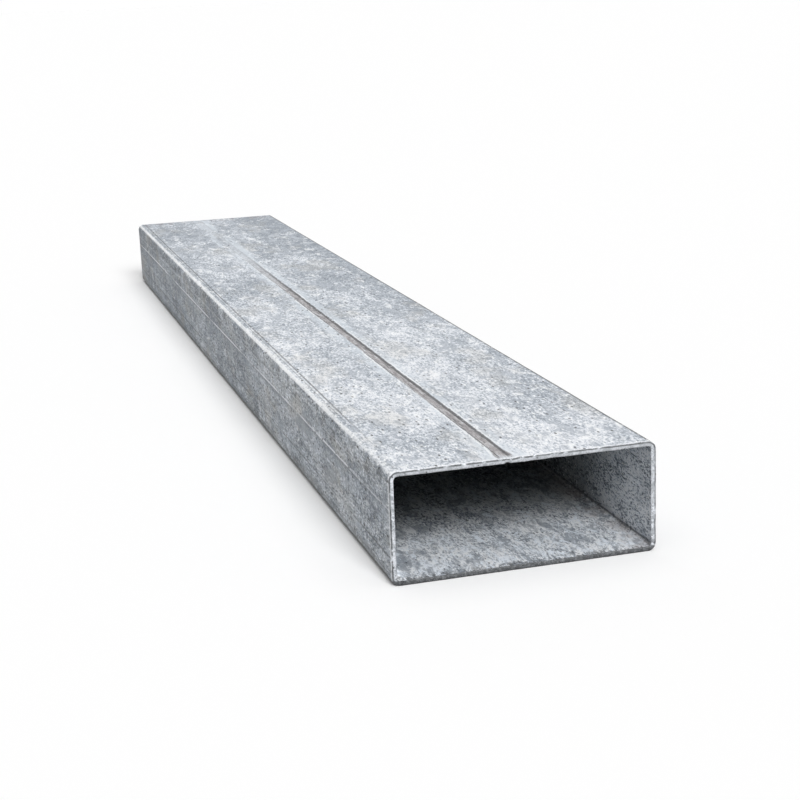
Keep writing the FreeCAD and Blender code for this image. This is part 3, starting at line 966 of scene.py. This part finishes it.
def bore_material():
    """The galvanised inside of the tube."""
    material, tree, mm = new_material("bore_zinc")
    x, y, z = split(tree, mm)
    on_wall = mask(tree, reckon(tree, "ABSOLUTE", x), BORE_HALF - 1.6, BORE_HALF - 0.5)
    from_middle = reckon(tree, "ABSOLUTE", y)
    # Painted light on the bore near each mouth.
    painted_mouth_light = mask(tree, from_middle, FAR_Y - 75.0, FAR_Y - 10.0)
    off_wall = reckon(tree, "MULTIPLY_ADD", on_wall, -0.85, 1.0)

    # Zinc, with painted light near the mouths and pale patches there.
    lift = times(tree, painted_mouth_light, off_wall, 0.16)
    tone = reckon(tree, "ADD", zinc_tone(tree, mm, 0.62, 1.0, 2.9, 3.6, BORE_PLACE), lift)
    dirty_stops = ((0.10, SOOT), (0.30, SLATE), (0.44, BLUE_GREY), (0.58, SILVER), (0.76, WHITE))
    colour = ramp(tree, tone, dirty_stops)
    colour = blend(tree, times(tree, painted_mouth_light, off_wall, 0.22), colour, COOL_WHITE)
    patch_field = noise(tree, stretch(tree, mm, ROLLED, (14.0, 33.0, 21.0)), 8.0, 6.0, 0.72, 0.6)
    bright = times(tree, mask(tree, patch_field, 0.50, 0.57), painted_mouth_light, off_wall, 0.70)
    colour = blend(tree, bright, colour, COOL_WHITE)

    # Murky patches, streaks, and the dull and frosted patches of all zinc.
    murky = times(tree, mask(tree, patch_field, 0.45, 0.39), off_wall, 0.55)
    colour = blend(tree, murky, colour, SLATE)
    streaks = noise(tree, stretch(tree, mm, STRONGLY, (2.0, 9.0, 31.0)), 1.9, 4.0, 0.8)
    streaked = times(tree, mask(tree, streaks, 0.52, 0.58), off_wall, 0.60)
    colour = blend(tree, streaked, colour, SLATE)
    dull, frost = crisp_patches(tree, mm, BORE_PLACE)
    dulled = times(tree, dull, reckon(tree, "MULTIPLY_ADD", off_wall, 0.55, 0.2))
    colour = blend(tree, dulled, colour, SLATE)
    colour = blend(tree, times(tree, frost, off_wall, 0.95), colour, COOL_WHITE)

    # Grit on the floor at each mouth, and painted shade in the deep bore.
    gritty = noise(tree, stretch(tree, mm, (1.0, 0.6, 1.0)), 1.9, 4.0, 0.8)
    at_mouth = mask(tree, from_middle, FAR_Y - 7.0, FAR_Y - 1.5)
    at_mouth = times(tree, at_mouth, mask(tree, z, 6.0, 3.4))
    colour = blend(tree, times(tree, at_mouth, mask(tree, gritty, 0.49, 0.55), 0.85), colour, SOOT)
    deep_shade_share = mask(tree, from_middle, FAR_Y - 18.0, FAR_Y - 98.0)
    painted_deep_shade = blend(tree, 1.0, colour, BORE_PAINTED_SHADE, "MULTIPLY")
    colour = blend(tree, deep_shade_share, colour, painted_deep_shade)

    # Crumbs, the line along the foot of each wall, brown stains, and pits.
    colour = blend(tree, times(tree, on_wall, 0.06), colour, SLATE)
    crumb_field = noise(tree, stretch(tree, mm, (1.0, 0.5, 1.0), (5.0, 2.0, 8.0)), 2.6, 2.0, 0.75)
    crumbs = mask(tree, crumb_field, 0.60, 0.66)
    crumbed = times(tree, crumbs, reckon(tree, "MULTIPLY_ADD", on_wall, 0.8, 0.2))
    colour = blend(tree, crumbed, colour, WHITE)
    corner_line = times(tree, on_wall, line(tree, z, WALL + 1.2, 0.25, 0.5))
    colour = blend(tree, times(tree, corner_line, 0.8), colour, SOOT)
    beside_corner = mask(tree, x, HALF_WIDTH - 17.0, HALF_WIDTH - 6.0)
    on_floor = mask(tree, z, WALL + 1.2, WALL + 0.4)
    rust_field = mask(tree, noise(tree, mm, 14.0, 4.0, 0.6), 0.36, 0.6)
    rust = times(tree, beside_corner, on_floor, rust_field, 0.45)
    colour = blend(tree, rust, colour, BORE_STAIN)
    pits = specks(tree, mm, 2.2, 0.36, 0.5, (13.0, 7.0, 2.0))
    colour = blend(tree, times(tree, pits, off_wall, 0.85), colour, PIT)

    # On the walls the crumbs are smoother and more metallic than the zinc round them.
    sparkle = times(tree, crumbs, on_wall)
    roughness = reckon(tree, "MULTIPLY_ADD", mask(tree, tone, 0.9, 0.1), 0.2, 0.5)
    roughness = reckon(tree, "MULTIPLY_ADD", sparkle, -0.25, roughness)
    metallic = reckon(tree, "MULTIPLY_ADD", sparkle, 0.6, 0.14)
    height = total(tree, ((tone, 0.5, 0.6), (crumbs, 0.0, 1.5), (pits, 0.0, -0.6)), 0.5)
    return finish_zinc(material, tree, colour, roughness, height, BORE_BUMP_MM, metallic)


# %% [markdown]
# ## Finishes on the mesh
#
# The slots follow the order that the mesh was given: skin, rim, bore. Each zone could be an
# object with one material, but one mesh with three slots has no gap between them.

# %% Give the tube its materials
for made in (skin_material(), rim_material(), bore_material()):
    tube.data.materials.append(made)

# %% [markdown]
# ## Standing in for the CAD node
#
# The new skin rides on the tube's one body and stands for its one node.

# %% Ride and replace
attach(tube, "root")
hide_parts(TUBE_NODE)

# %% [markdown]
# ## The floor
#
# A plain pale floor. The camera and reflections see it as white. Light that only bounces off it
# is held back, so the sides of the tube keep their tone. A white floor for all light would be
# simpler, but it fills the dark sides.

# %% Floor
FLOOR_HALF = 40.0
FLOOR_CELLS = 8
FLOOR_BOUNCE = (0.38, 0.38, 0.38)
FLOOR_SEEN = (0.99, 0.99, 0.99)


def seen_directly(tree):
    """1 for the camera's rays, for reflections and for light through glass, and otherwise 0."""
    path = tree.nodes.new("ShaderNodeLightPath")
    seen = reckon(tree, "MAXIMUM", path.outputs["Is Camera Ray"], path.outputs["Is Glossy Ray"])
    return reckon(tree, "MAXIMUM", seen, path.outputs["Is Transmission Ray"])


def floor_material():
    """White to the camera and to reflections, and a middle grey to light that bounces off it."""
    material = bpy.data.materials.new("studio_floor")
    material.use_nodes = True
    tree = material.node_tree
    tree.nodes.clear()
    colour = blend(tree, seen_directly(tree), FLOOR_BOUNCE, FLOOR_SEEN)
    shader = tree.nodes.new("ShaderNodeBsdfDiffuse")
    tree.links.new(colour, shader.inputs["Color"])
    output = tree.nodes.new("ShaderNodeOutputMaterial")
    tree.links.new(shader.outputs["BSDF"], output.inputs["Surface"])
    return material


def flat_grid(name, half, count):
    """A level square of count by count quads, from -half to half on both axes."""
    side = np.linspace(-half, half, count + 1)
    x, y = np.meshgrid(side, side)
    points = np.stack((x, y, np.zeros_like(x)), axis=2).reshape(-1, 3)
    index = np.arange((count + 1) ** 2).reshape(count + 1, count + 1)
    faces = np.stack((index[:-1, :-1], index[:-1, 1:], index[1:, 1:], index[1:, :-1]), axis=2)
    mesh = bpy.data.meshes.new(name)
    mesh.from_pydata(points.tolist(), [], faces.reshape(-1, 4).tolist())
    obj = bpy.data.objects.new(name, mesh)
    bpy.context.scene.collection.objects.link(obj)
    return obj


floor = flat_grid("studio_floor", FLOOR_HALF, FLOOR_CELLS)
floor.data.materials.append(floor_material())

# %% [markdown]
# ## The light
#
# Three soft lights. A low sun in front looks into the bore and whitens the upper face. A very
# wide one overhead keeps the shadows close to the foot of the tube. An even white sky fills the
# sides. Area lamps could do the same, but suns light a long tube evenly from end to end.

# %% Sky and sun
SKY_STRENGTH = 0.26
FRONT_LEVEL = 0.51
FRONT_ANGLE = math.radians(26.0)
FRONT_ELEVATION = math.radians(35.0)
FRONT_HEADING = math.radians(-0.5)
TOP_LEVEL = 0.235
TOP_ANGLE = math.radians(75.0)
TOP_ELEVATION = math.radians(88.0)


def white_sky(strength):
    """An even sky of that strength, white to the camera and to reflections."""
    world = bpy.data.worlds.new("studio_sky")
    world.use_nodes = True
    tree = world.node_tree
    tree.nodes.clear()
    background = tree.nodes.new("ShaderNodeBackground")
    background.inputs["Color"].default_value = (1.0, 1.0, 1.0, 1.0)
    level = reckon(tree, "MULTIPLY_ADD", seen_directly(tree), 1.0 - strength, strength)
    tree.links.new(level, background.inputs["Strength"])
    output = tree.nodes.new("ShaderNodeOutputWorld")
    tree.links.new(background.outputs["Background"], output.inputs["Surface"])
    bpy.context.scene.world = world


def add_sun(name, level, elevation, heading, angle):
    """A sun that adds level to the light on level ground. Its heading is to the left of the front."""
    data = bpy.data.lights.new(name, "SUN")
    data.energy = level * math.pi / math.sin(elevation)
    data.angle = angle
    sun = bpy.data.objects.new(name, data)
    towards = Vector(
        (
            -math.sin(heading) * math.cos(elevation),
            -math.cos(heading) * math.cos(elevation),
            math.sin(elevation),
        )
    )
    sun.rotation_euler = towards.to_track_quat("Z", "Y").to_euler()
    bpy.context.scene.collection.objects.link(sun)
    return sun


white_sky(SKY_STRENGTH)
add_sun("front_sun", FRONT_LEVEL, FRONT_ELEVATION, FRONT_HEADING, FRONT_ANGLE)
add_sun("top_sun", TOP_LEVEL, TOP_ELEVATION, 0.0, TOP_ANGLE)
bpy.context.scene.view_settings.view_transform = "Standard"
print(f"light on level ground: {SKY_STRENGTH + FRONT_LEVEL + TOP_LEVEL:.2f}")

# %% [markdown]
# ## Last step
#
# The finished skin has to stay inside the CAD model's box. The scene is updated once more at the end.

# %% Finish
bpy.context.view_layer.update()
